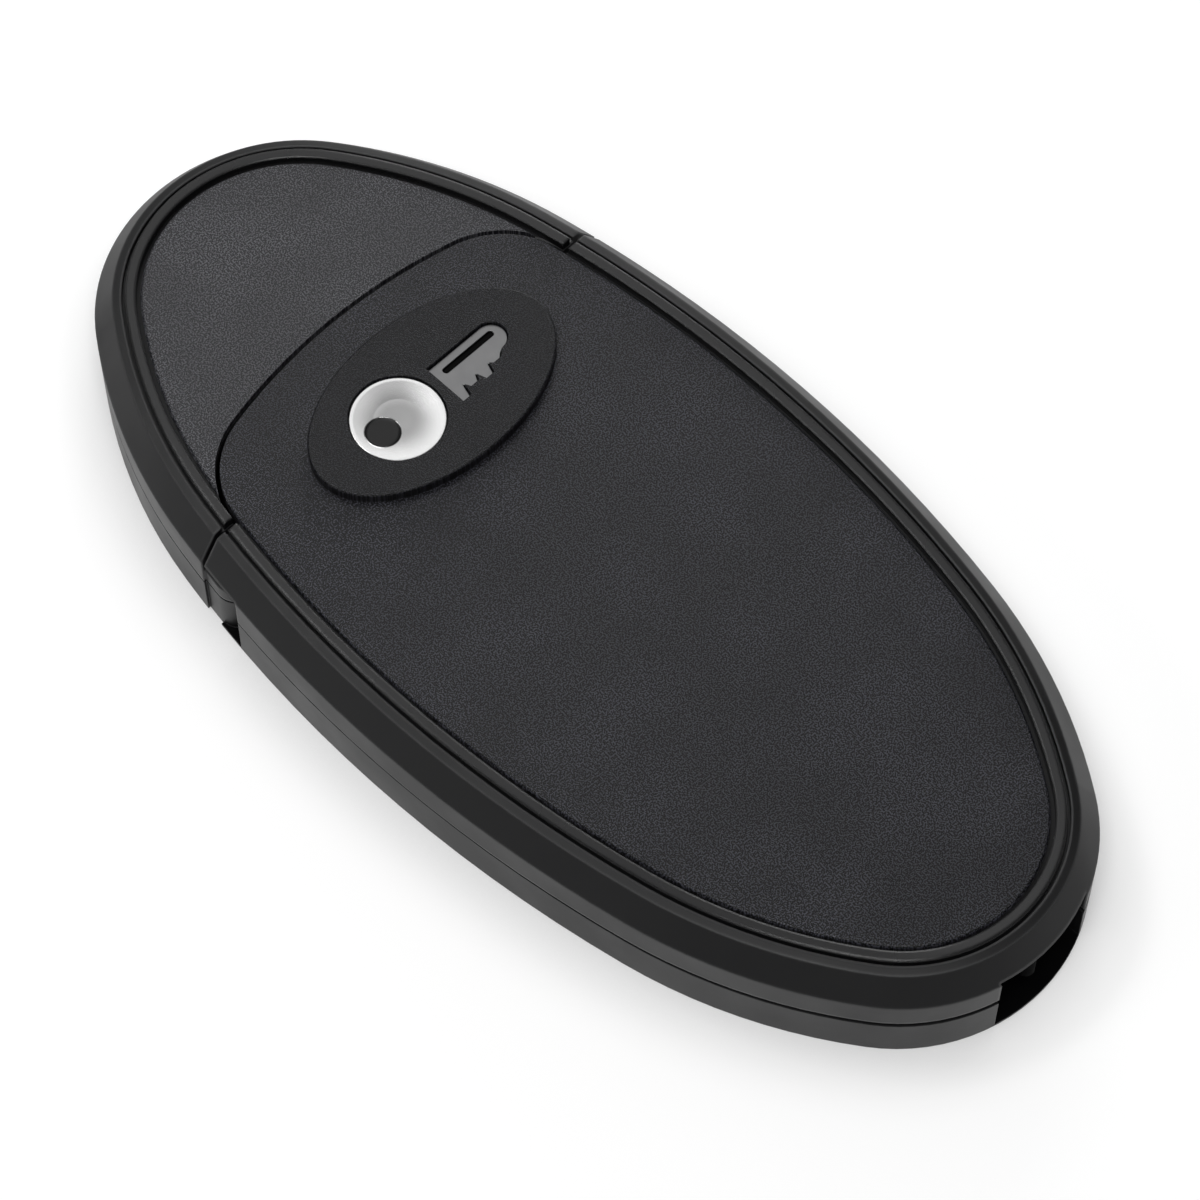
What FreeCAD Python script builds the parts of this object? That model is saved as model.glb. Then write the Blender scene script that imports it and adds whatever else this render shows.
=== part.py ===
import FreeCAD, Part
import math
import os

# Magnetic key box: an oval black case, 120 mm long, with a fixed head and a hinged lid.
# Millimetres. +X runs from the head to the tip, +Y across, +Z up.
# The origin is under the middle of the case, on the plane the case rests on.
# "Inset" is a distance in from the case's outline, square to it.

V = FreeCAD.Vector
UP = V(0, 0, 1)
ACROSS = V(0, 1, 0)

# ---- outline of the case: eight tangent arcs --------------------------------------------
length = 120.0
width = 57.0
tip_radius = 18.9
head_radius = 20.1
shoulder_radius = 57.4
side_flatness = 32.2
widest_x = -1.4

# ---- heights ----------------------------------------------------------------------------
floor_thick = 1.5
well_floor = 0.4
seam_z = 5.15
wall_top = 8.9
rim_rise = 2.85
band_rise = 0.2
foot_chamfer = 0.1

# ---- walls ------------------------------------------------------------------------------
base_wall = 2.4
lip_thick = 0.7
lip_height = 0.9
skirt_wall = 1.3
web_thick = 1.0
rim_inset = 2.0
band_inset = 0.93
shadow_line = 0.2
shadow_depth = 0.8
seam_gap_hinge = 0.08
seam_gap_tip = 0.72
gap_opens_x = 8.0

# ---- panels and trim rings --------------------------------------------------------------
panel_thick = 0.7
panel_below_rim = 0.15
panel_round = 0.2
ring_width = 1.12
ring_height = 1.1
ring_fall = 0.12
ring_round = 0.18
outer_groove = 0.3
inner_groove = 0.43

# ---- split between head and lid, and the lid's tongue -----------------------------------
head_length = 35.05
split_gap = 0.5
tongue_reach = 10.05
tongue_end_radius = 60.0
tongue_corner = 9.5
tongue_side_inset = 6.6
tongue_gap = 0.45
curtain_wall = 1.2
curtain_room = 0.35
curtain_foot = 0.3

# ---- hinge: steel pins in lugs under the lid, turning in open saddles of the tray --------
hinge_from_split = 2.45
hinge_below_panel = 0.8
pin_r = 0.6
pin_length = 7.4
pin_fit = 0.05
saddle_inset = 12.0
saddle_width = 2.0
saddle_wall = 0.7
saddle_front_rise = 0.62
saddle_rear_drop = 0.25
lug_wall = 0.8
lug_gap = 0.3
lug_slot_rear = 3.0
lug_slot_front = 2.2
knuckle_round = 0.42

# ---- neck: the narrow shoulders under the lid's rim, and the bulkhead between them ------
neck_length = 4.55
neck_step = 0.3
neck_wall = 1.6
neck_round = 2.2
neck_below_rim = 1.05
neck_bevel = 0.85
neck_slot = 1.1
rim_edge_wall = 0.6

# ---- finger recess and stud at the tip --------------------------------------------------
recess_depth = 3.8
recess_half = 6.15
recess_shift = 0.85
recess_wall = 1.3
recess_trim = 0.25
stud_r = 0.85
stud_length = 4.6
stud_y = -0.7
stud_from_wall = 2.25

# ---- magnets: length along X, length along Y, thickness ---------------------------------
head_magnet_size = (12.0, 24.0, 5.0)
head_magnet_from_end = 15.3
tip_magnet_size = (11.0, 24.0, 3.0)
tip_magnet_from_end = 17.0
magnet_chamfer = 0.3
keeper_thick = 0.6
magnet_gap = 0.1
pocket_wall = 1.2

# ---- screws: one in each corner of the head ---------------------------------------------
screw_shank_r = 1.1
screw_head_r = 2.0
screw_head_height = 0.8
screw_length = 6.5
screw_sink = 0.1
screw_fit = 0.15
post_width = 4.6
screw_from_end = 22.8
screw_inset = 10.9

# ---- badge ------------------------------------------------------------------------------
badge_from_split = 3.05
badge_y = 0.95
badge_half_length = 14.55
badge_half_width = 8.7
badge_thick = 1.1
badge_bevel = 0.15
bow_back = 0.15
bow_y = -3.6
bow_r = 4.75
bow_drop = 0.25
bow_dish = 0.35
bow_rim = 0.35
bow_well_r = 2.4
bow_well = 0.09
button_offset = 2.0
button_r = 1.75
button_proud = 0.1
blade_gap = 1.15
blade_length = 8.6
blade_width = 3.2
blade_back = 2.1
blade_drop = 0.4
blade_groove_width = 0.7
blade_groove_back = 0.9
blade_groove_margin = 1.3
blade_groove_depth = 0.2
cut_gap = 0.1
tooth_depths = (1.8, 1.1, 1.5, 0.7)
tooth_width = 0.9
tooth_flank = 0.4
tooth_valley = 0.3

# ---- worked out from the sizes above ----------------------------------------------------
half_length = length / 2
half_width = width / 2
rim_top = wall_top + rim_rise + band_rise
panel_top = rim_top - panel_below_rim
lid_floor = panel_top - panel_thick
web_under = lid_floor - web_thick
recess_inset = rim_inset + band_inset
ring_outer = recess_inset + outer_groove
ring_inner = ring_outer + ring_width
panel_inset = ring_inner + inner_groove
head_x = head_length - half_length
split_x = head_x + split_gap
tongue_end_x = split_x - tongue_reach
tongue_half = half_width - tongue_side_inset
hinge_x = split_x + hinge_from_split
hinge_z = lid_floor - hinge_below_panel
saddle_y = half_width - saddle_inset
knuckle_r = hinge_from_split + knuckle_round
neck_front_x = head_x + neck_length
neck_top = wall_top - neck_below_rim
wall_start_x = neck_front_x + neck_slot
recess_back_x = half_length - recess_depth
badge_x = split_x + badge_from_split
badge_top = panel_top + badge_thick
bow_x = badge_x - bow_back
button_y = bow_y - button_offset
blade_root_y = bow_y + bow_r + blade_gap
blade_tip_y = blade_root_y + blade_length
blade_back_x = badge_x - blade_back
blade_edge_x = blade_back_x + blade_width
blade_groove_x = badge_x - blade_groove_back
head_magnet_x = head_magnet_from_end - half_length
tip_magnet_x = half_length - tip_magnet_from_end
screw_x = screw_from_end - half_length
screw_y = half_width - screw_inset
screw_spots = ((screw_x, screw_y), (screw_x, -screw_y))
big = 2 * length


# The least radius at which a side arc still meets an end arc; the shoulder arc is what the
# sides gain by being flatter than that.
def least_side_radius(end_radius, shift):
    run = half_length - end_radius - shift
    rise = 2 * (half_width - end_radius)
    return (run ** 2 + half_width ** 2 - end_radius ** 2) / rise


side_radius = side_flatness + max(least_side_radius(tip_radius, widest_x),
                                  least_side_radius(head_radius, -widest_x))


def box(x0, x1, y0, y1, z0, z1):
    return Part.makeBox(x1 - x0, y1 - y0, z1 - z0, V(x0, y0, z0))


def fuse(shapes):
    joined = shapes[0].multiFuse(shapes[1:]) if len(shapes) > 1 else shapes[0]
    return joined.removeSplitter()


# The shoulder arc's centre is the point that lies at the right distance from the centres of
# the end arc and of the side arc, so that all three meet without a corner.
def shoulder_centre(end_x, end_radius):
    side_y = half_width - side_radius
    dx = widest_x - end_x
    span = math.hypot(dx, side_y)
    near = shoulder_radius - end_radius
    far = side_radius - shoulder_radius
    along = (near ** 2 - far ** 2 + span ** 2) / (2 * span)
    off = math.sqrt(near ** 2 - along ** 2)
    ux, uy = dx / span, side_y / span
    spots = [(end_x + along * ux - s * off * uy, along * uy + s * off * ux) for s in (1, -1)]
    return min(spots, key=lambda p: math.hypot(*p))


def arc(cx, cy, r, start, end, z):
    circle = Part.Circle(V(cx, cy, z), UP, r)
    return Part.ArcOfCircle(circle, start, end).toShape()


def outline(inset, z):
    """The case's outline, moved in by inset, as a closed wire at height z."""
    tip_x = half_length - tip_radius
    end_x = head_radius - half_length
    side_y = half_width - side_radius
    tx, ty = shoulder_centre(tip_x, tip_radius)
    hx, hy = shoulder_centre(end_x, head_radius)
    tip_turn = math.atan2(-ty, tip_x - tx)
    tip_side = math.atan2(ty - side_y, tx - widest_x)
    head_turn = math.atan2(-hy, end_x - hx)
    head_side = math.atan2(hy - side_y, hx - widest_x)
    side_r = side_radius - inset
    shoulder_r = shoulder_radius - inset
    turn = 2 * math.pi
    edges = [
        arc(tip_x, 0, tip_radius - inset, -tip_turn, tip_turn, z),
        arc(tx, ty, shoulder_r, tip_turn, tip_side, z),
        arc(widest_x, side_y, side_r, tip_side, head_side, z),
        arc(hx, hy, shoulder_r, head_side, head_turn, z),
        arc(end_x, 0, head_radius - inset, head_turn, turn - head_turn, z),
        arc(hx, -hy, shoulder_r, turn - head_turn, turn - head_side, z),
        arc(widest_x, -side_y, side_r, turn - head_side, turn - tip_side, z),
        arc(tx, -ty, shoulder_r, turn - tip_side, turn - tip_turn, z),
    ]
    return Part.Wire(edges)


def slab(inset, z0, z1):
    return Part.Face(outline(inset, z0)).extrude(V(0, 0, z1 - z0))


def stack(levels):
    """A solid through outlines at (inset, z) levels, with straight sides between them."""
    return Part.makeLoft([outline(i, z) for i, z in levels], True, True)


def tongue(grow, z0, z1):
    """The lid's rounded tongue seen from above, as a prism that runs on past the split."""
    r = tongue_corner + grow
    end_r = tongue_end_radius + grow
    cx = tongue_end_x + tongue_end_radius
    cy = tongue_half - tongue_corner
    corner_x = cx - math.sqrt((end_r - r) ** 2 - cy ** 2)
    lean = math.asin(cy / (end_r - r))
    half = tongue_half + grow
    upper = arc(corner_x, cy, r, math.pi / 2, math.pi - lean, z0)
    end = arc(cx, 0, end_r, math.pi - lean, math.pi + lean, z0)
    lower = arc(corner_x, -cy, r, math.pi + lean, 1.5 * math.pi, z0)
    a, b = V(corner_x, half, z0), V(corner_x, -half, z0)
    c, d = V(0, -half, z0), V(0, half, z0)
    wire = Part.Wire([upper, end, lower, Part.makeLine(b, c), Part.makeLine(c, d),
                      Part.makeLine(d, a)])
    return Part.Face(wire).extrude(V(0, 0, z1 - z0))


def edges_where(shape, test):
    return [e for e in shape.Edges if test(e)]


def at_height(z):
    return lambda e: all(abs(v.Z - z) < 1e-4 for v in e.Vertexes)


def side_recess(grow, z0, z1):
    """The finger recess at the tip, opened out by grow on its back and sides."""
    mid = recess_shift
    half = recess_half + grow
    return box(recess_back_x - grow, big, mid - half, mid + half, z0, z1)


def neck_prism(inset, front, corner, z0, z1):
    """The plan shape of the neck: the outline cut off at front, with rounded corners."""
    plan = slab(inset, z0, z1).common(box(-big, front, -big, big, z0, z1))
    corners = edges_where(plan, lambda e: len(e.Vertexes) == 2
                          and abs(e.Vertexes[0].X - front) < 1e-4
                          and abs(e.Vertexes[1].X - front) < 1e-4
                          and abs(e.Vertexes[0].Z - e.Vertexes[1].Z) > 0.1)
    return plan.makeFillet(corner, corners)


def neck(z0, z1, top_bevel):
    """The neck's wall: two shoulders and the bulkhead, open towards the head."""
    outer = neck_prism(neck_step, neck_front_x, neck_round, z0, z1)
    if top_bevel:
        outer = outer.makeChamfer(top_bevel, edges_where(outer, at_height(z1)))
    inner = neck_prism(neck_step + neck_wall, neck_front_x - neck_wall,
                       neck_round - neck_wall, z0 - 1, z1 + 1)
    wall = outer.cut(inner)
    return wall.common(box(head_x - neck_wall, big, -big, big, z0, z1))


# ---- covers: what the head cover and the lid cover have in common ------------------------
def cover_shell(skirt_bottom):
    outer = stack([(0, skirt_bottom), (0, wall_top), (rim_inset, wall_top + rim_rise),
                   (recess_inset, rim_top)])
    inner_turn = web_under - rim_rise * 0.75
    hollow = stack([(skirt_wall, skirt_bottom - 1), (skirt_wall, inner_turn),
                    (recess_inset, web_under)])
    seat = slab(recess_inset, lid_floor, rim_top + 1)
    return outer.cut(hollow).cut(seat)


def trim_ring():
    top = lid_floor + ring_height
    outer = stack([(ring_outer, lid_floor), (ring_outer, top - ring_round),
                   (ring_outer + ring_round, top), (ring_inner, top - ring_fall)])
    return outer.cut(slab(ring_inner, lid_floor - 1, top + 1))


def panel_plate():
    edge = panel_inset + panel_round
    return stack([(panel_inset, lid_floor), (panel_inset, panel_top - panel_round),
                  (edge, panel_top)])


def lid_region(grow, z0, z1):
    """Everything in front of the split, with the tongue."""
    front = box(split_x - grow, big, -big, big, z0, z1)
    return front.fuse(tongue(grow, z0, z1))


# Swings clear of the head's rim: the top of the rim's rear end is round about the hinge.
def knuckle_trim():
    block = box(split_x - 1, hinge_x, -big, big, hinge_z, rim_top + 2)
    drum = Part.makeCylinder(knuckle_r, 2 * big, V(hinge_x, -big, hinge_z), ACROSS)
    return block.cut(drum)


# ---- base tray ---------------------------------------------------------------------------
def magnet_pocket(size, x, grow):
    sx, sy, sz = size
    depth = sz + keeper_thick
    return box(x - sx / 2 - grow, x + sx / 2 + grow, -sy / 2 - grow, sy / 2 + grow,
               -1 if grow == magnet_gap else 0, depth if grow == magnet_gap else depth + grow)


def saddle(y):
    """An open hinge saddle: the pin clicks in from above and behind."""
    r = pin_r + pin_fit
    outer_r = r + saddle_wall
    y0 = y - saddle_width / 2
    post = box(hinge_x - outer_r, neck_front_x, y0, y0 + saddle_width, floor_thick, neck_top)
    stem = box(hinge_x - outer_r, hinge_x + outer_r, y0, y0 + saddle_width, seam_z, hinge_z)
    eye = Part.makeCylinder(outer_r, saddle_width, V(hinge_x, y0, hinge_z), ACROSS)
    body = fuse([post, stem, eye])
    rear_cut = box(-big, hinge_x, y0 - 1, y0 + saddle_width + 1, hinge_z - saddle_rear_drop, big)
    front_cut = box(hinge_x - 1, big, y0 - 1, y0 + saddle_width + 1,
                    hinge_z + saddle_front_rise, big)
    bore = Part.makeCylinder(r, saddle_width + 2, V(hinge_x, y0 - 1, hinge_z), ACROSS)
    return body.cut(rear_cut).cut(front_cut).cut(bore)


# Beside the neck's rounded corners and in the slot in front of them the floor is thin.
def neck_well():
    well = box(head_x, wall_start_x, -big, big, well_floor, seam_z)
    well = well.cut(slab(base_wall, well_floor - 1, seam_z + 1))
    return well.cut(neck_prism(neck_step, neck_front_x, neck_round, well_floor, seam_z))


def base_tray():
    floor = stack([(foot_chamfer, 0), (0, foot_chamfer), (0, floor_thick)])
    beside_neck = slab(-1, -1, floor_thick + 1).cut(slab(neck_step, -1, floor_thick + 1))
    floor = floor.cut(beside_neck.common(box(head_x, neck_front_x - neck_round, -big, big, -1, big)))
    wall = slab(0, floor_thick, seam_z).cut(slab(base_wall, floor_thick - 1, seam_z + 1))
    wall = wall.cut(box(head_x, wall_start_x, -big, big, floor_thick, seam_z))
    lip = slab(base_wall - lip_thick, floor_thick, seam_z + lip_height)
    lip = lip.cut(slab(base_wall, floor_thick - 1, big))
    lip = lip.common(box(wall_start_x + 1, big, -big, big, 0, big))
    lip = lip.cut(side_recess(recess_wall + skirt_wall - lip_thick, 0, big))
    bulkhead = box(neck_front_x - neck_wall, neck_front_x, -saddle_y - saddle_width,
                   saddle_y + saddle_width, floor_thick, neck_top)
    recess_keep = slab(0, floor_thick, big).common(side_recess(recess_wall, floor_thick, seam_z))
    parts = [floor, wall, lip, neck(floor_thick, seam_z, 0), bulkhead, recess_keep]
    parts += [saddle(saddle_y), saddle(-saddle_y)]
    for size, x in ((head_magnet_size, head_magnet_x), (tip_magnet_size, tip_magnet_x)):
        parts.append(magnet_pocket(size, x, pocket_wall))
    tray = fuse(parts)
    for size, x in ((head_magnet_size, head_magnet_x), (tip_magnet_size, tip_magnet_x)):
        tray = tray.cut(magnet_pocket(size, x, magnet_gap))
    tray = tray.cut(side_recess(0, well_floor, big)).cut(neck_well())
    for x, y in screw_spots:
        tray = tray.cut(Part.makeCylinder(screw_shank_r + screw_fit, 2 * floor_thick, V(x, y, -1)))
        sunk = screw_head_height + screw_sink
        tray = tray.cut(Part.makeCylinder(screw_head_r + screw_fit, sunk + 1, V(x, y, -1)))
    return tray


def magnet(size, x):
    sx, sy, sz = size
    block = box(x - sx / 2, x + sx / 2, -sy / 2, sy / 2, 0, sz)
    return block.makeChamfer(magnet_chamfer, edges_where(block, at_height(0)))


def keeper(size, x):
    sx, sy, sz = size
    return box(x - sx / 2, x + sx / 2, -sy / 2, sy / 2, sz, sz + keeper_thick)


def screws():
    solids = []
    for x, y in screw_spots:
        head = Part.makeCylinder(screw_head_r, screw_head_height, V(x, y, screw_sink))
        shank = Part.makeCylinder(screw_shank_r, screw_length,
                                  V(x, y, screw_sink + screw_head_height))
        solids.append(fuse([head, shank]))
    return Part.makeCompound(solids)


# ---- head cover --------------------------------------------------------------------------
def head_cover():
    shell = cover_shell(seam_z).common(box(-big, head_x, -big, big, 0, big))
    relief = slab(-1, seam_z - 1, seam_z + shadow_line).cut(
        slab(shadow_depth, seam_z - 1, seam_z + shadow_line))
    shell = shell.cut(relief)
    shell = shell.cut(tongue(tongue_gap, 0, big))
    room = tongue_gap + curtain_room
    curtain = tongue(room + curtain_wall, floor_thick + curtain_foot, lid_floor)
    curtain = curtain.cut(tongue(room, 0, big))
    inside = slab(skirt_wall, 0, web_under).fuse(slab(recess_inset, 0, lid_floor))
    curtain = curtain.common(inside).common(box(-big, head_x, -big, big, 0, big))
    curtain = curtain.cut(slab(0, 0, seam_z).cut(slab(base_wall + 0.2, 0, seam_z)))
    curtain = curtain.cut(tongue(tongue_gap, 0, big))
    shoulders = neck(seam_z, neck_top, neck_bevel)
    shoulders = shoulders.cut(box(-big, big, -saddle_y - saddle_width - 0.2,
                                  saddle_y + saddle_width + 0.2, 0, big))
    line = slab(-1, seam_z - 1, seam_z + shadow_line).cut(
        slab(neck_step + shadow_depth, seam_z - 1, seam_z + shadow_line))
    shoulders = shoulders.cut(line)
    parts = [shell, curtain, shoulders]
    for x, y in screw_spots:
        half = post_width / 2
        parts.append(box(x - half, x + half, y - half, y + half, floor_thick, lid_floor))
    cover = fuse(parts)
    for x, y in screw_spots:
        cover = cover.cut(Part.makeCylinder(screw_shank_r, screw_length + 0.1,
                                            V(x, y, screw_sink + screw_head_height)))
    return cover


def head_region():
    behind = box(-big, head_x, -big, big, 0, big)
    return behind.cut(tongue(tongue_gap, -1, big))


# ---- lid ---------------------------------------------------------------------------------
def skirt_wedge():
    """What is cut off the lid's skirt from below: the gap opens towards the tip."""
    low = seam_z + seam_gap_hinge
    high = seam_z + seam_gap_tip
    start = wall_start_x - 1
    end = half_length + 1
    points = [V(start, -big, 0), V(end, -big, 0), V(end, -big, high), V(gap_opens_x, -big, low),
              V(start, -big, low)]
    face = Part.Face(Part.makePolygon(points + points[:1]))
    return face.extrude(V(0, 2 * big, 0))


def hinge_lugs(side):
    eye_r = pin_r + lug_wall
    reach = saddle_width / 2 + lug_gap
    lug_width = (pin_length - saddle_width - 2 * lug_gap) / 2
    solids = []
    for y0 in (saddle_y + reach, saddle_y - reach - lug_width):
        start = y0 if side > 0 else -y0 - lug_width
        eye = Part.makeCylinder(eye_r, lug_width, V(hinge_x, start, hinge_z), ACROSS)
        solids.append(eye.cut(box(-big, big, -big, big, lid_floor, big)))
    return solids


def hinge_pin(side):
    start = saddle_y - pin_length / 2
    y0 = start if side > 0 else -start - pin_length
    return Part.makeCylinder(pin_r, pin_length, V(hinge_x, y0, hinge_z), ACROSS)


def lid_cover():
    shell = cover_shell(seam_z)
    shell = shell.common(box(split_x, big, -big, big, 0, big)).cut(knuckle_trim())
    shell = shell.cut(skirt_wedge())
    over_neck = box(-big, wall_start_x, -big, big, 0, wall_top)
    rim_run = rim_inset / rim_rise
    thin = stack([(rim_edge_wall, wall_top),
                  (rim_edge_wall + (web_under - wall_top) * rim_run, web_under)])
    shell = shell.cut(over_neck)
    shell = shell.cut(thin.common(box(-big, wall_start_x, -big, big, 0, web_under)))
    web = tongue(0, web_under, lid_floor).common(box(-big, split_x + 2, -big, big, 0, big))
    web = web.common(slab(panel_inset, web_under, lid_floor))
    recess = slab(0, 0, web_under).common(side_recess(recess_wall, seam_z, web_under))
    recess = recess.cut(skirt_wedge()).cut(slab(-1, 0, big).cut(slab(skirt_wall, 0, big)))
    parts = [shell, web, recess] + hinge_lugs(1) + hinge_lugs(-1)
    cover = fuse(parts)
    cover = cover.cut(side_recess(0, 0, wall_top + recess_trim))
    for side in (1, -1):
        slot = saddle_width / 2 + lug_gap
        mid = side * saddle_y
        cover = cover.cut(box(hinge_x - lug_slot_rear, hinge_x + lug_slot_front,
                              mid - slot, mid + slot, 0, lid_floor))
        cover = cover.cut(Part.makeCylinder(pin_r, pin_length + 0.2,
                                            V(hinge_x, mid - pin_length / 2 - 0.1, hinge_z),
                                            ACROSS))
    return cover


def catch_stud():
    x = recess_back_x + stud_from_wall
    top = wall_top + recess_trim
    return Part.makeCylinder(stud_r, stud_length, V(x, stud_y, top - stud_length))


# ---- badge -------------------------------------------------------------------------------
def badge_oval(half_x, half_y, z0, z1):
    centre = V(badge_x, badge_y, z0)
    ellipse = Part.Ellipse(centre + V(0, half_y, 0), centre - V(half_x, 0, 0), centre)
    return Part.Face(Part.Wire([ellipse.toShape()])).extrude(V(0, 0, z1 - z0))


def blade_face(grow, z):
    """Key blade seen from above: straight back, round nose, teeth on the other edge."""
    valley = blade_edge_x + tooth_valley
    y = blade_root_y
    points = [V(blade_back_x, y, z), V(blade_edge_x + tooth_depths[0], y, z)]
    for i, depth in enumerate(tooth_depths):
        if i:
            y += tooth_flank
            points.append(V(blade_edge_x + depth, y, z))
        y += tooth_width
        points.append(V(blade_edge_x + depth, y, z))
        y += tooth_flank
        points.append(V(valley, y, z))
    nose = (blade_edge_x - blade_back_x) / 2
    shoulder = blade_tip_y - nose
    top = V(blade_back_x + nose, blade_tip_y, z)
    points.append(V(blade_edge_x, shoulder, z))
    lines = [Part.makeLine(a, b) for a, b in zip(points, points[1:])]
    lines.append(Part.Arc(points[-1], top, V(blade_back_x, shoulder, z)).toShape())
    lines.append(Part.makeLine(V(blade_back_x, shoulder, z), points[0]))
    face = Part.Face(Part.Wire(lines))
    return face.makeOffset2D(grow, 2) if grow else face


def badge_plate():
    plate = badge_oval(badge_half_width, badge_half_length, panel_top, badge_top)
    plate = plate.makeChamfer(badge_bevel, edges_where(plate, at_height(badge_top)))
    plate = plate.cut(Part.makeCylinder(bow_r + cut_gap, 2 * badge_thick,
                                        V(bow_x, bow_y, panel_top - 0.5)))
    blade = blade_face(cut_gap, panel_top - 0.5).extrude(V(0, 0, 2 * badge_thick))
    return plate.cut(blade)


def badge_bow():
    top = badge_top - bow_drop
    disc = Part.makeCylinder(bow_r, top - panel_top, V(bow_x, bow_y, panel_top))
    bottom = top - bow_dish
    well = Part.makeCone(0, bow_well_r, bow_well, V(bow_x, bow_y, bottom))
    slope = Part.makeCone(bow_well_r, bow_r - bow_rim, bow_dish - bow_well,
                          V(bow_x, bow_y, bottom + bow_well))
    dish = well.fuse(slope)
    hole = Part.makeCylinder(button_r, 2 * badge_thick, V(bow_x, button_y, panel_top - 0.5))
    return disc.cut(dish).cut(hole)


def bow_button():
    top = badge_top - bow_drop - bow_dish + button_proud
    return Part.makeCylinder(button_r - cut_gap / 2, top - panel_top, V(bow_x, button_y, panel_top))


def badge_blade():
    top = badge_top - blade_drop
    blade = blade_face(0, panel_top).extrude(V(0, 0, top - panel_top))
    half = blade_groove_width / 2
    start = blade_root_y + blade_groove_margin
    end = blade_tip_y - blade_groove_margin
    groove = box(blade_groove_x - half, blade_groove_x + half, start, end,
                 top - blade_groove_depth, big)
    for y in (start, end):
        groove = groove.fuse(Part.makeCylinder(half, big, V(blade_groove_x, y,
                                                            top - blade_groove_depth)))
    return blade.cut(groove)


# ---- all the pieces ----------------------------------------------------------------------
def build():
    lid_side = lid_region(0, 0, big)
    rim_side = box(split_x, big, -big, big, 0, big)
    nodes = {
        "base_tray": base_tray(),
        "head_cover": head_cover(),
        "head_trim_ring": trim_ring().common(box(-big, head_x, -big, big, 0, big)),
        "head_panel": panel_plate().common(head_region()),
        "head_magnet": magnet(head_magnet_size, head_magnet_x),
        "head_keeper": keeper(head_magnet_size, head_magnet_x),
        "tip_magnet": magnet(tip_magnet_size, tip_magnet_x),
        "tip_keeper": keeper(tip_magnet_size, tip_magnet_x),
        "head_screws": screws(),
        "lid_cover": lid_cover(),
        "lid_trim_ring": trim_ring().common(rim_side).cut(knuckle_trim()),
        "lid_panel": panel_plate().common(lid_side),
        "badge_plate": badge_plate(),
        "badge_bow": badge_bow(),
        "badge_blade": badge_blade(),
        "bow_button": bow_button(),
        "hinge_pin_left": hinge_pin(-1),
        "hinge_pin_right": hinge_pin(1),
        "catch_stud": catch_stud(),
    }
    return nodes


os.makedirs("parts", exist_ok=True)
for name, shape in build().items():
    solids = shape.Solids
    if len(solids) == 1:
        shape = solids[0]
    shape.exportStep("parts/%s.step" % name)
    print("%-16s solids %d valid %s volume %.1f" % (name, len(solids), shape.isValid(), shape.Volume))
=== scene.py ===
import math

import bpy
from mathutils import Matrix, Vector


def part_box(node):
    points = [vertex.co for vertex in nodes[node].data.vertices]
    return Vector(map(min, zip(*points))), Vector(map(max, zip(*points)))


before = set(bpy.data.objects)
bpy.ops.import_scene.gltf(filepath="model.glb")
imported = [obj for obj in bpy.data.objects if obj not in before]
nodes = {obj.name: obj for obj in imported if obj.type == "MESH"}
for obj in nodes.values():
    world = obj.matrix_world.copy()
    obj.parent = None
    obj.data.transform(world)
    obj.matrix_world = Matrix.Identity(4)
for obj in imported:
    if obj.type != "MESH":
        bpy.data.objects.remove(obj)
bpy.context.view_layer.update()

MM = 0.001


# ---- moulded case: tray, head cover, lid cover and catch stud --------------------------------
# Black ABS shells, injection moulded in steel tools with a fine spark finish, so the flats
# have a faint tooth. Handling rubs the edges a little greyer, and their lighter colour is also a
# painted highlight. The stud is a darker, matt copy of the black: painted shade.
def node(tree, kind, values=None, **settings):
    made = tree.nodes.new(kind)
    for name, setting in settings.items():
        setattr(made, name, setting)
    for entry, value in (values or {}).items():
        made.inputs[entry].default_value = value
    return made


def wire(tree, *runs):
    for source, leaving, target, entering in runs:
        tree.links.new(source.outputs[leaving], target.inputs[entering])


def new_group(name, inputs, outputs):
    group = bpy.data.node_groups.new(name, "ShaderNodeTree")
    for side, sockets in (("INPUT", inputs), ("OUTPUT", outputs)):
        for socket, kind in sockets.items():
            group.interface.new_socket(socket, in_out=side, socket_type="NodeSocket" + kind)
    return group, node(group, "NodeGroupInput"), node(group, "NodeGroupOutput")


def workings(material):
    tree = material.node_tree
    return tree, tree.nodes["Principled BSDF"]


def new_material(name):
    material = bpy.data.materials.new(name)
    material.use_nodes = True
    return material, *workings(material)


def feeding(shader, entry):
    link = shader.inputs[entry].links[0]
    return link.from_node, link.from_socket.name


def finish_with(material, *names):
    for name in names:
        mesh = nodes[name].data
        mesh.materials.clear()
        mesh.materials.append(material)


# Most of a noise's values lie between these two.
noise_span = {"From Min": 0.35, "From Max": 0.65}
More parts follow.
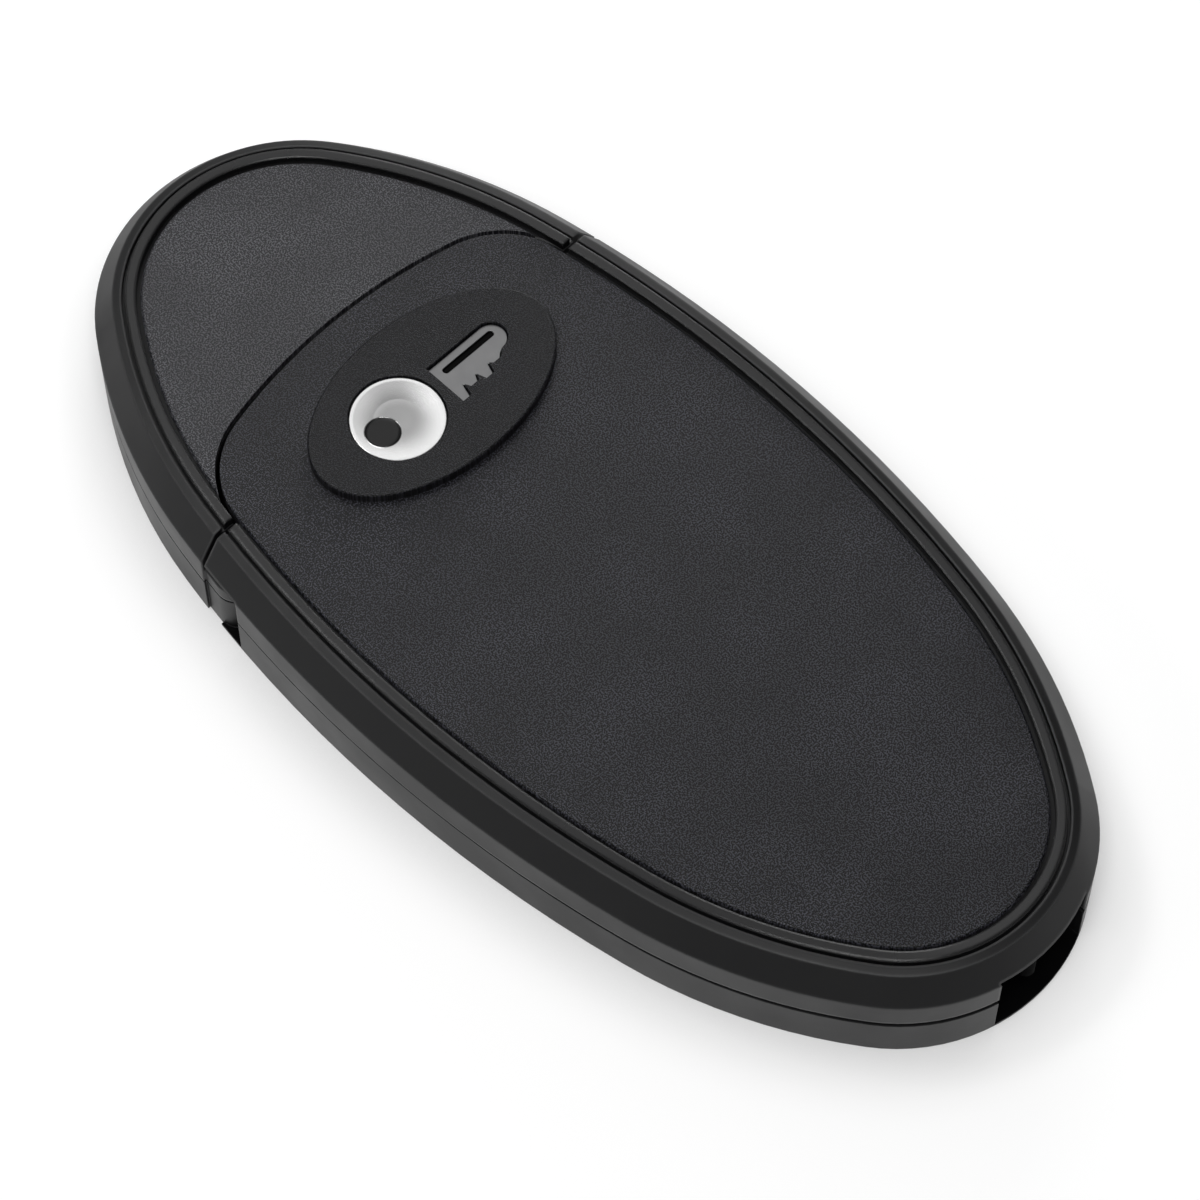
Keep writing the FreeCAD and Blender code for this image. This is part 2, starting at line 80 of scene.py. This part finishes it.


# An edge counts as rubbed where its rounded normal leans away from the flat one; it then takes a
# lighter colour, partly wear and partly a painted highlight. The two leans are cosines.
def moulded_skin():
    slight_lean = 0.998
    full_lean = 0.95
    group, given, result = new_group(
        "moulded_skin",
        {"Tooth size": "Float", "Tooth depth": "Float", "Edge radius": "Float",
         "Smoothest": "Float", "Roughest": "Float"},
        {"Roughness": "Float", "Rubbed edge and sheen": "Float", "Normal": "Vector"})
    place = node(group, "ShaderNodeTexCoord")
    density = node(group, "ShaderNodeMath", {0: 1.0}, operation="DIVIDE")
    tooth = node(group, "ShaderNodeTexNoise", {"Detail": 3.0})
    cloud = node(group, "ShaderNodeTexNoise", {"Scale": 90.0, "Detail": 4.0})
    polish = node(group, "ShaderNodeMapRange", noise_span)
    edge = node(group, "ShaderNodeBevel", samples=6)
    flat = node(group, "ShaderNodeNewGeometry")
    agree = node(group, "ShaderNodeVectorMath", operation="DOT_PRODUCT")
    rubbed_and_sheen = node(group, "ShaderNodeMapRange", {"From Min": slight_lean, "From Max": full_lean})
    relief = node(group, "ShaderNodeBump", {"Strength": 1.0})
    wire(group,
         (given, "Tooth size", density, 1),
         (place, "Object", tooth, "Vector"),
         (density, 0, tooth, "Scale"),
         (place, "Object", cloud, "Vector"),
         (cloud, "Fac", polish, "Value"),
         (given, "Smoothest", polish, "To Min"),
         (given, "Roughest", polish, "To Max"),
         (given, "Edge radius", edge, "Radius"),
         (edge, "Normal", agree, 0),
         (flat, "Normal", agree, 1),
         (agree, "Value", rubbed_and_sheen, "Value"),
         (given, "Tooth depth", relief, "Distance"),
         (tooth, "Fac", relief, "Height"),
         (edge, "Normal", relief, "Normal"),
         (polish, "Result", result, "Roughness"),
         (rubbed_and_sheen, "Result", result, "Rubbed edge and sheen"),
         (relief, "Normal", result, "Normal"))
    return group


skin_group = moulded_skin()


def plastic(name, colour, edge_wear_and_sheen, tooth_size, tooth_depth, edge_radius, smoothest, roughest, ior):
    material, tree, shader = new_material(name)
    shader.inputs["IOR"].default_value = ior
    skin = node(tree, "ShaderNodeGroup", {
        "Tooth size": tooth_size, "Tooth depth": tooth_depth, "Edge radius": edge_radius,
        "Smoothest": smoothest, "Roughest": roughest}, node_tree=skin_group)
    # Rubbed edges take the edge colour: wear, and on the case shells also a painted highlight.
    tone = node(tree, "ShaderNodeMix", {"A": (*colour, 1.0), "B": (*edge_wear_and_sheen, 1.0)}, data_type="RGBA")
    wire(tree,
         (skin, "Rubbed edge and sheen", tone, "Factor"),
         (tone, "Result", shader, "Base Color"),
         (skin, "Roughness", shader, "Roughness"),
         (skin, "Normal", shader, "Normal"))
    return material


# Dust that gathers in the seam between the tray and the covers makes a narrow band dull.
def dusty_seam():
    group, given, result = new_group(
        "dusty_seam", {"Roughness": "Float", "Height": "Float", "Reach": "Float"},
        {"Roughness": "Float"})
    place = node(group, "ShaderNodeTexCoord")
    axes = node(group, "ShaderNodeSeparateXYZ")
    seam = node(group, "ShaderNodeMath", operation="COMPARE")
    dull = node(group, "ShaderNodeMath", operation="MAXIMUM")
    wire(group,
         (place, "Object", axes, 0),
         (axes, "Z", seam, 0),
         (given, "Height", seam, 1),
         (given, "Reach", seam, 2),
         (seam, 0, dull, 0),
         (given, "Roughness", dull, 1),
         (dull, 0, result, "Roughness"))
    return group


seam_group = dusty_seam()
seam_gap = 0.08 * MM
seam_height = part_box("lid_cover")[0][2] - seam_gap / 2
dust_reach = 0.13 * MM


def lay_dust(material):
    tree, shader = workings(material)
    dust = node(tree, "ShaderNodeGroup", {"Height": seam_height, "Reach": dust_reach},
                node_tree=seam_group)
    wire(tree,
         (*feeding(shader, "Roughness"), dust, "Roughness"),
         (dust, "Roughness", shader, "Roughness"))


# Painted shade in the tray's wells: up-facing floors below the given height turn to a black
# metal, which has no sheen.
def shade_wells(material, height):
    facing_up = 0.5
    blackness = 0.9
    tree, shader = workings(material)
    place = node(tree, "ShaderNodeTexCoord")
    axes = node(tree, "ShaderNodeSeparateXYZ")
    low = node(tree, "ShaderNodeMath", {1: height}, operation="LESS_THAN")
    flat = node(tree, "ShaderNodeNewGeometry")
    facing = node(tree, "ShaderNodeSeparateXYZ")
    upward = node(tree, "ShaderNodeMath", {1: facing_up}, operation="GREATER_THAN")
    floor = node(tree, "ShaderNodeMath", operation="MULTIPLY")
    well_shade = node(tree, "ShaderNodeMath", {1: blackness}, operation="MULTIPLY")
    wire(tree,
         (place, "Object", axes, 0),
         (axes, "Z", low, 0),
         (flat, "Normal", facing, 0),
         (facing, "Z", upward, 0),
         (low, 0, floor, 0),
         (upward, 0, floor, 1),
         (floor, 0, well_shade, 0),
         (well_shade, 0, shader, "Metallic"))


case_colour = (0.0035, 0.0035, 0.0040)
case_finish = {"tooth_size": 0.15 * MM, "tooth_depth": 0.003 * MM, "smoothest": 0.42,
               "roughest": 0.52, "ior": 1.42}
case_black = plastic("case_black", colour=case_colour, edge_wear_and_sheen=(0.050, 0.050, 0.051),
                     edge_radius=0.4 * MM, **case_finish)
lay_dust(case_black)
finish_with(case_black, "head_cover", "lid_cover")

well_height = 1.0 * MM
tray_black = plastic("tray_black", colour=case_colour, edge_wear_and_sheen=(0.020, 0.020, 0.021),
                     edge_radius=0.15 * MM, **case_finish)
shade_wells(tray_black, well_height)
lay_dust(tray_black)
finish_with(tray_black, "base_tray")

# Painted shade: the stud is a darker, duller copy of the case black.
stud_black = plastic("stud_black", colour=(0.002, 0.002, 0.0022), edge_wear_and_sheen=(0.003, 0.003, 0.0032),
                     tooth_size=0.15 * MM, tooth_depth=0.003 * MM, edge_radius=0.05 * MM,
                     smoothest=0.85, roughest=0.95, ior=1.12)
finish_with(stud_black, "catch_stud")


# ---- trim rings ------------------------------------------------------------------------------
# Raised beads of the same black plastic, polished in the tool, that frame both panels. Their
# tops fall a little towards the panels, and their edges are softly rounded.
bead_black = plastic("bead_black", colour=(0.007, 0.007, 0.0075), edge_wear_and_sheen=(0.010, 0.010, 0.0105),
                     tooth_size=0.3 * MM, tooth_depth=0.0015 * MM, edge_radius=0.4 * MM,
                     smoothest=0.22, roughest=0.30, ior=1.5)
finish_with(bead_black, "head_trim_ring", "lid_trim_ring")


# ---- grained panels --------------------------------------------------------------------------
# Inlays of black plastic with a fine leather grain etched into the tool: low winding ridges
# about a quarter of a millimetre apart. The ridges are painted lighter than the hollows between
# them, partly as wear and partly as a painted highlight, and the hollows carry painted shade.
def leather_grain():
    ridge_foot = 0.47
    ridge_top = 0.64
    pore_share = 0.1
    least_rubbed_and_sheen = 0.68
    group, given, result = new_group(
        "leather_grain",
        {"Ridge spacing": "Float", "Ridge height": "Float", "Edge radius": "Float",
         "Smoothest": "Float", "Roughest": "Float"},
        {"Rubbed ridge and sheen": "Float", "Roughness": "Float", "Normal": "Vector"})
    place = node(group, "ShaderNodeTexCoord")
    lie = node(group, "ShaderNodeMapping", {"Rotation": (0.0, 0.0, 0.1)})
    density = node(group, "ShaderNodeMath", {0: 1.0}, operation="DIVIDE")
    winding = node(group, "ShaderNodeTexNoise", {"Detail": 0.0}, noise_dimensions="2D")
    ridge = node(group, "ShaderNodeMapRange", {"From Min": ridge_foot, "From Max": ridge_top},
                 interpolation_type="SMOOTHSTEP")
    pores = node(group, "ShaderNodeTexNoise", {"Scale": 5200.0, "Detail": 1.0})
    height = node(group, "ShaderNodeMath", {1: pore_share}, operation="MULTIPLY_ADD")
    patch = node(group, "ShaderNodeTexNoise", {"Scale": 110.0, "Detail": 5.0})
    blotch = node(group, "ShaderNodeMapRange",
                  {"From Min": 0.38, "From Max": 0.62, "To Min": least_rubbed_and_sheen, "To Max": 1.0})
    rubbed_and_sheen = node(group, "ShaderNodeMath", operation="MULTIPLY")
    polish = node(group, "ShaderNodeMapRange", noise_span)
    edge = node(group, "ShaderNodeBevel", samples=6)
    relief = node(group, "ShaderNodeBump", {"Strength": 1.0})
    wire(group,
         (given, "Ridge spacing", density, 1),
         (place, "Object", lie, "Vector"),
         (lie, "Vector", winding, "Vector"),
         (density, 0, winding, "Scale"),
         (winding, "Fac", ridge, "Value"),
         (place, "Object", pores, "Vector"),
         (pores, "Fac", height, 0),
         (ridge, "Result", height, 2),
         (place, "Object", patch, "Vector"),
         (patch, "Fac", blotch, "Value"),
         (ridge, "Result", rubbed_and_sheen, 0),
         (blotch, "Result", rubbed_and_sheen, 1),
         (patch, "Fac", polish, "Value"),
         (given, "Smoothest", polish, "To Min"),
         (given, "Roughest", polish, "To Max"),
         (given, "Edge radius", edge, "Radius"),
         (edge, "Normal", relief, "Normal"),
         (given, "Ridge height", relief, "Distance"),
         (height, 0, relief, "Height"),
         (rubbed_and_sheen, 0, result, "Rubbed ridge and sheen"),
         (polish, "Result", result, "Roughness"),
         (relief, "Normal", result, "Normal"))
    return group


grain_group = leather_grain()
ridge_spacing = 0.155 * MM
grained_edge = 0.15 * MM


def grained(name, ridge, hollow, height, smoothest, roughest, ior):
    material, tree, shader = new_material(name)
    shader.inputs["IOR"].default_value = ior
    grain = node(tree, "ShaderNodeGroup", {
        "Ridge spacing": ridge_spacing, "Ridge height": height, "Edge radius": grained_edge,
        "Smoothest": smoothest, "Roughest": roughest}, node_tree=grain_group)
    # Ridges take the ridge colour and hollows the hollow colour: painted highlight and shade, with
    # some wear.
    tone = node(tree, "ShaderNodeMix", {"A": (*hollow, 1.0), "B": (*ridge, 1.0)}, data_type="RGBA")
    wire(tree,
         (grain, "Rubbed ridge and sheen", tone, "Factor"),
         (tone, "Result", shader, "Base Color"),
         (grain, "Roughness", shader, "Roughness"),
         (grain, "Normal", shader, "Normal"))
    return material


lid_grain = grained("lid_grain", ridge=(0.058, 0.0588, 0.074), hollow=(0.0001, 0.0001, 0.0006),
                    height=0.110 * MM, smoothest=0.34, roughest=0.40, ior=1.47)
finish_with(lid_grain, "lid_panel")
# Painted sheen: the head panel is a lighter copy of the lid's grain, for the brighter sheen over
# the head.
head_grain_sheen = grained("head_grain_sheen", ridge=(0.122, 0.1228, 0.135), hollow=(0.013, 0.013, 0.016),
                     height=0.075 * MM, smoothest=0.34, roughest=0.40, ior=1.5)
finish_with(head_grain_sheen, "head_panel")


# ---- badge -----------------------------------------------------------------------------------
# A raised oval of black plastic with a softer grain than the panels. A dished disc with a black
# plug in its hole and a key blade show through its cut-outs; disc and blade are moulded pieces
# too, vacuum coated in satin silver.
badge_black = grained("badge_black", ridge=(0.022, 0.022, 0.028), hollow=(0.0002, 0.0002, 0.0006),
                      height=0.060 * MM, smoothest=0.40, roughest=0.48, ior=1.43)
finish_with(badge_black, "badge_plate")


def mottled_metal():
    group, given, result = new_group(
        "mottled_metal",
        {"Scale": "Float", "Detail": "Float", "Dark": "Color", "Light": "Color", "Dark at": "Float",
         "Light at": "Float", "Smoothest": "Float", "Roughest": "Float"},
        {"Colour": "Color", "Roughness": "Float"})
    place = node(group, "ShaderNodeTexCoord")
    mottle = node(group, "ShaderNodeTexNoise")
    spread = node(group, "ShaderNodeMapRange")
    tone = node(group, "ShaderNodeMix", data_type="RGBA")
    gloss = node(group, "ShaderNodeMapRange")
    wire(group,
         (place, "Object", mottle, "Vector"),
         (given, "Scale", mottle, "Scale"),
         (given, "Detail", mottle, "Detail"),
         (mottle, "Fac", spread, "Value"),
         (given, "Dark at", spread, "From Min"),
         (given, "Light at", spread, "From Max"),
         (spread, "Result", tone, "Factor"),
         (given, "Dark", tone, "A"),
         (given, "Light", tone, "B"),
         (mottle, "Fac", gloss, "Value"),
         (given, "Smoothest", gloss, "To Min"),
         (given, "Roughest", gloss, "To Max"),
         (tone, "Result", result, "Colour"),
         (gloss, "Result", result, "Roughness"))
    return group


mottle_group = mottled_metal()


def metal(name, dark, light, dark_at, light_at, scale, detail, smoothest, roughest):
    material, tree, shader = new_material(name)
    shader.inputs["Metallic"].default_value = 1.0
    mottle = node(tree, "ShaderNodeGroup", {
        "Scale": scale, "Detail": detail, "Dark": (*dark, 1.0), "Light": (*light, 1.0),
        "Dark at": dark_at, "Light at": light_at, "Smoothest": smoothest,
        "Roughest": roughest}, node_tree=mottle_group)
    wire(tree,
         (mottle, "Colour", shader, "Base Color"),
         (mottle, "Roughness", shader, "Roughness"))
    return material


silver_mottle = {"dark_at": 0.3, "light_at": 0.7, "scale": 400.0, "detail": 4.0}


def round_edges(material, radius):
    tree, shader = workings(material)
    edge = node(tree, "ShaderNodeBevel", {"Radius": radius}, samples=12)
    wire(tree, (edge, "Normal", shader, "Normal"))


# Painted shade: the base colour darkens towards the middle of the dish.
def shade_dish_middle(material, centre, radius):
    middle_tone = 0.44
    tree, shader = workings(material)
    place = node(tree, "ShaderNodeTexCoord")
    reach = node(tree, "ShaderNodeVectorMath", {1: centre}, operation="DISTANCE")
    dish_shade = node(tree, "ShaderNodeMapRange",
                   {"From Min": 0.3 * radius, "From Max": 0.95 * radius, "To Min": middle_tone},
                   interpolation_type="SMOOTHSTEP")
    tone = node(tree, "ShaderNodeMix", {"Factor": 1.0}, data_type="RGBA", blend_type="MULTIPLY")
    wire(tree,
         (place, "Object", reach, 0),
         (reach, "Value", dish_shade, "Value"),
         (*feeding(shader, "Base Color"), tone, "A"),
         (dish_shade, "Result", tone, "B"),
         (tone, "Result", shader, "Base Color"))


disc_silver = metal("disc_silver", dark=(0.75, 0.75, 0.75), light=(0.80, 0.80, 0.80),
                    smoothest=0.21, roughest=0.29, **silver_mottle)
round_edges(disc_silver, radius=0.2 * MM)
disc_low, disc_high = (Vector(corner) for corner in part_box("badge_bow"))
rim_height = 0.15 * MM
dish_centre = (disc_low + disc_high) / 2
dish_centre.z = disc_high.z - rim_height
shade_dish_middle(disc_silver, dish_centre, radius=(disc_high.y - disc_low.y) / 2)
finish_with(disc_silver, "badge_bow")


# Black ink fills the blade's groove, below the given height.
def ink_groove(material, height):
    ink = (0.004, 0.004, 0.004, 1.0)
    ink_edge = 0.05 * MM
    tree, shader = workings(material)
    place = node(tree, "ShaderNodeTexCoord")
    axes = node(tree, "ShaderNodeSeparateXYZ")
    coated = node(tree, "ShaderNodeMapRange", {"From Min": height, "From Max": height + ink_edge})
    tone = node(tree, "ShaderNodeMix", {"A": ink}, data_type="RGBA")
    wire(tree,
         (place, "Object", axes, 0),
         (axes, "Z", coated, "Value"),
         (coated, "Result", tone, "Factor"),
         (*feeding(shader, "Base Color"), tone, "B"),
         (tone, "Result", shader, "Base Color"))


# Painted shade: the blade's silver is much darker than the disc's, for its place low in the
# cut-out.
blade_silver = metal("blade_silver", dark=(0.19, 0.19, 0.193), light=(0.22, 0.22, 0.222),
                     smoothest=0.26, roughest=0.34, **silver_mottle)
round_edges(blade_silver, radius=0.12 * MM)
bare_lip = 0.10 * MM
blade_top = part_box("badge_blade")[1][2]
ink_groove(blade_silver, height=blade_top - bare_lip)
finish_with(blade_silver, "badge_blade")

plug_black = plastic("plug_black", colour=(0.004, 0.004, 0.004), edge_wear_and_sheen=(0.002, 0.002, 0.002),
                     tooth_size=0.2 * MM, tooth_depth=0.002 * MM, edge_radius=0.5 * MM,
                     smoothest=0.42, roughest=0.5, ior=1.42)
finish_with(plug_black, "bow_button")


# ---- magnets, keepers, screws and hinge pins -------------------------------------------------
# Sintered ferrite blocks set flush in the back, with zinc plated steel plates behind them,
# plated self-tapping screws and bright drawn pins.
zinc = (0.58, 0.58, 0.57)
dull_zinc = tuple(0.8 * part for part in zinc)
plated_steel = metal("plated_steel", dark=dull_zinc, light=zinc, dark_at=0.0, light_at=1.0,
                     scale=700.0, detail=5.0, smoothest=0.27, roughest=0.43)
finish_with(plated_steel, "head_keeper", "tip_keeper", "head_screws", "hinge_pin_left",
            "hinge_pin_right")

ferrite = plastic("ferrite", colour=(0.045, 0.045, 0.048), edge_wear_and_sheen=(0.09, 0.09, 0.092),
                  tooth_size=0.25 * MM, tooth_depth=0.02 * MM, edge_radius=0.1 * MM,
                  smoothest=0.5, roughest=0.65, ior=1.9)
finish_with(ferrite, "head_magnet", "tip_magnet")


# ---- table and backdrop ----------------------------------------------------------------------
# A seamless white sheet, a hair below the case's back. It takes the soft shadow and glows to the
# camera and in reflections; to the camera the glow sinks where the case closes over it, a painted
# contact shadow. From below it is clear.
def white_sheet():
    half_width = 3.0
    level = -0.02 * MM
    paper_white = (0.60, 0.60, 0.60, 1.0)
    glow_in_open = 0.50
    glow_in_painted_shadow = 0.24
    mesh = bpy.data.meshes.new("sheet")
    corners = [(half_width * x, half_width * y, level)
               for x, y in ((-1, -1), (1, -1), (1, 1), (-1, 1))]
    mesh.from_pydata(corners, [], [(0, 1, 2, 3)])
    sheet = bpy.data.objects.new("sheet", mesh)
    bpy.context.scene.collection.objects.link(sheet)
    material = bpy.data.materials.new("sheet_white")
    material.use_nodes = True
    tree = material.node_tree
    tree.nodes.clear()
    paper = node(tree, "ShaderNodeBsdfDiffuse", {"Color": paper_white})
    glow = node(tree, "ShaderNodeEmission", {"Color": (1.0, 1.0, 1.0, 1.0)})
    path = node(tree, "ShaderNodeLightPath")
    mirrored = node(tree, "ShaderNodeMath", operation="MAXIMUM")
    in_mirror = node(tree, "ShaderNodeMath", {1: glow_in_open}, operation="MULTIPLY")
    open_air = node(tree, "ShaderNodeAmbientOcclusion", {"Distance": 8.0 * MM}, samples=8)
    # To the camera the glow sinks near the case: a painted contact shadow.
    lift = node(tree, "ShaderNodeMapRange", {
        "From Min": 0.45, "From Max": 0.95, "To Min": glow_in_painted_shadow, "To Max": glow_in_open})
    strength = node(tree, "ShaderNodeMath", operation="MULTIPLY_ADD")
    both = node(tree, "ShaderNodeAddShader")
    under = node(tree, "ShaderNodeNewGeometry")
    clear = node(tree, "ShaderNodeBsdfTransparent")
    one_sided = node(tree, "ShaderNodeMixShader")
    out = node(tree, "ShaderNodeOutputMaterial")
    wire(tree,
         (path, "Is Glossy Ray", mirrored, 0),
         (path, "Is Transmission Ray", mirrored, 1),
         (mirrored, 0, in_mirror, 0),
         (open_air, "AO", lift, "Value"),
         (path, "Is Camera Ray", strength, 0),
         (lift, "Result", strength, 1),
         (in_mirror, 0, strength, 2),
         (strength, 0, glow, "Strength"),
         (paper, 0, both, 0),
         (glow, 0, both, 1),
         (under, "Backfacing", one_sided, "Fac"),
         (both, 0, one_sided, 1),
         (clear, 0, one_sided, 2),
         (one_sided, 0, out, "Surface"))
    mesh.materials.append(material)


white_sheet()


# ---- light -----------------------------------------------------------------------------------
# A broad soft box hangs beyond the head and a fill high above the near side of the tip. Three
# small boxes draw the rim's edges. The grey surround is lighter above, and dark to one side.
def soft_box(name, place, across, up, watts):
    lamp = bpy.data.lights.new(name, "AREA")
    lamp.shape = "RECTANGLE"
    lamp.size = across
    lamp.size_y = up
    lamp.energy = watts
    rig = bpy.data.objects.new(name, lamp)
    bpy.context.scene.collection.objects.link(rig)
    rig.location = place
    rig.rotation_euler = (-Vector(place)).to_track_quat("-Z", "Y").to_euler()


soft_box("overhead", place=(-0.380, 0.234, 0.473), across=0.39, up=0.57, watts=0.70)
soft_box("fill", place=(0.273, -0.311, 0.954), across=0.45, up=0.45, watts=5.8)
soft_box("left_lamp", place=(-0.277, -0.116, 0.520), across=0.20, up=0.10, watts=0.57)
soft_box("far_lamp", place=(-0.332, 0.475, 0.155), across=0.25, up=0.25, watts=0.95)
soft_box("edge_strip", place=(-0.231, -0.434, 0.344), across=0.20, up=0.10, watts=0.30)


def grey_surround():
    level_grey = (0.05, 0.05, 0.05, 1.0)
    upper_grey = (0.12, 0.12, 0.12, 1.0)
    dark_side = (0.04, -1.0, 0.0)
    darkest = 0.15
    world = bpy.data.worlds.new("surround")
    bpy.context.scene.world = world
    world.use_nodes = True
    tree = world.node_tree
    where = node(tree, "ShaderNodeTexCoord")
    split = node(tree, "ShaderNodeSeparateXYZ")
    rise = node(tree, "ShaderNodeMapRange", {"From Min": 0.0, "From Max": 0.9})
    fade = node(tree, "ShaderNodeMix", {"A": level_grey, "B": upper_grey}, data_type="RGBA")
    toward = node(tree, "ShaderNodeVectorMath", {1: dark_side}, operation="DOT_PRODUCT")
    shade = node(tree, "ShaderNodeMapRange", {
        "From Min": 0.10, "From Max": 0.45, "To Min": 1.0, "To Max": darkest})
    wire(tree,
         (where, "Generated", split, 0),
         (split, "Z", rise, "Value"),
         (rise, "Result", fade, "Factor"),
         (where, "Generated", toward, 0),
         (toward, "Value", shade, "Value"),
         (fade, "Result", tree.nodes["Background"], "Color"),
         (shade, "Result", tree.nodes["Background"], "Strength"))


grey_surround()


# ---- camera ----------------------------------------------------------------------------------
# A long lens near the tip's side, about sixty degrees up. It leans forward from looking
# straight down, then swings about the vertical.
lean = math.radians(29.591)
swing = math.radians(44.952)
camera = bpy.data.cameras.new("camera")
camera.sensor_width = 36.0
camera.lens = 128.96
camera.clip_start = 0.01
stand = bpy.data.objects.new("camera", camera)
bpy.context.scene.collection.objects.link(stand)
stand.location = (0.1479, -0.1457, 0.3651)
stand.rotation_euler = (lean, 0.0, swing)
bpy.context.scene.camera = stand
bpy.context.scene.view_settings.view_transform = "Standard"
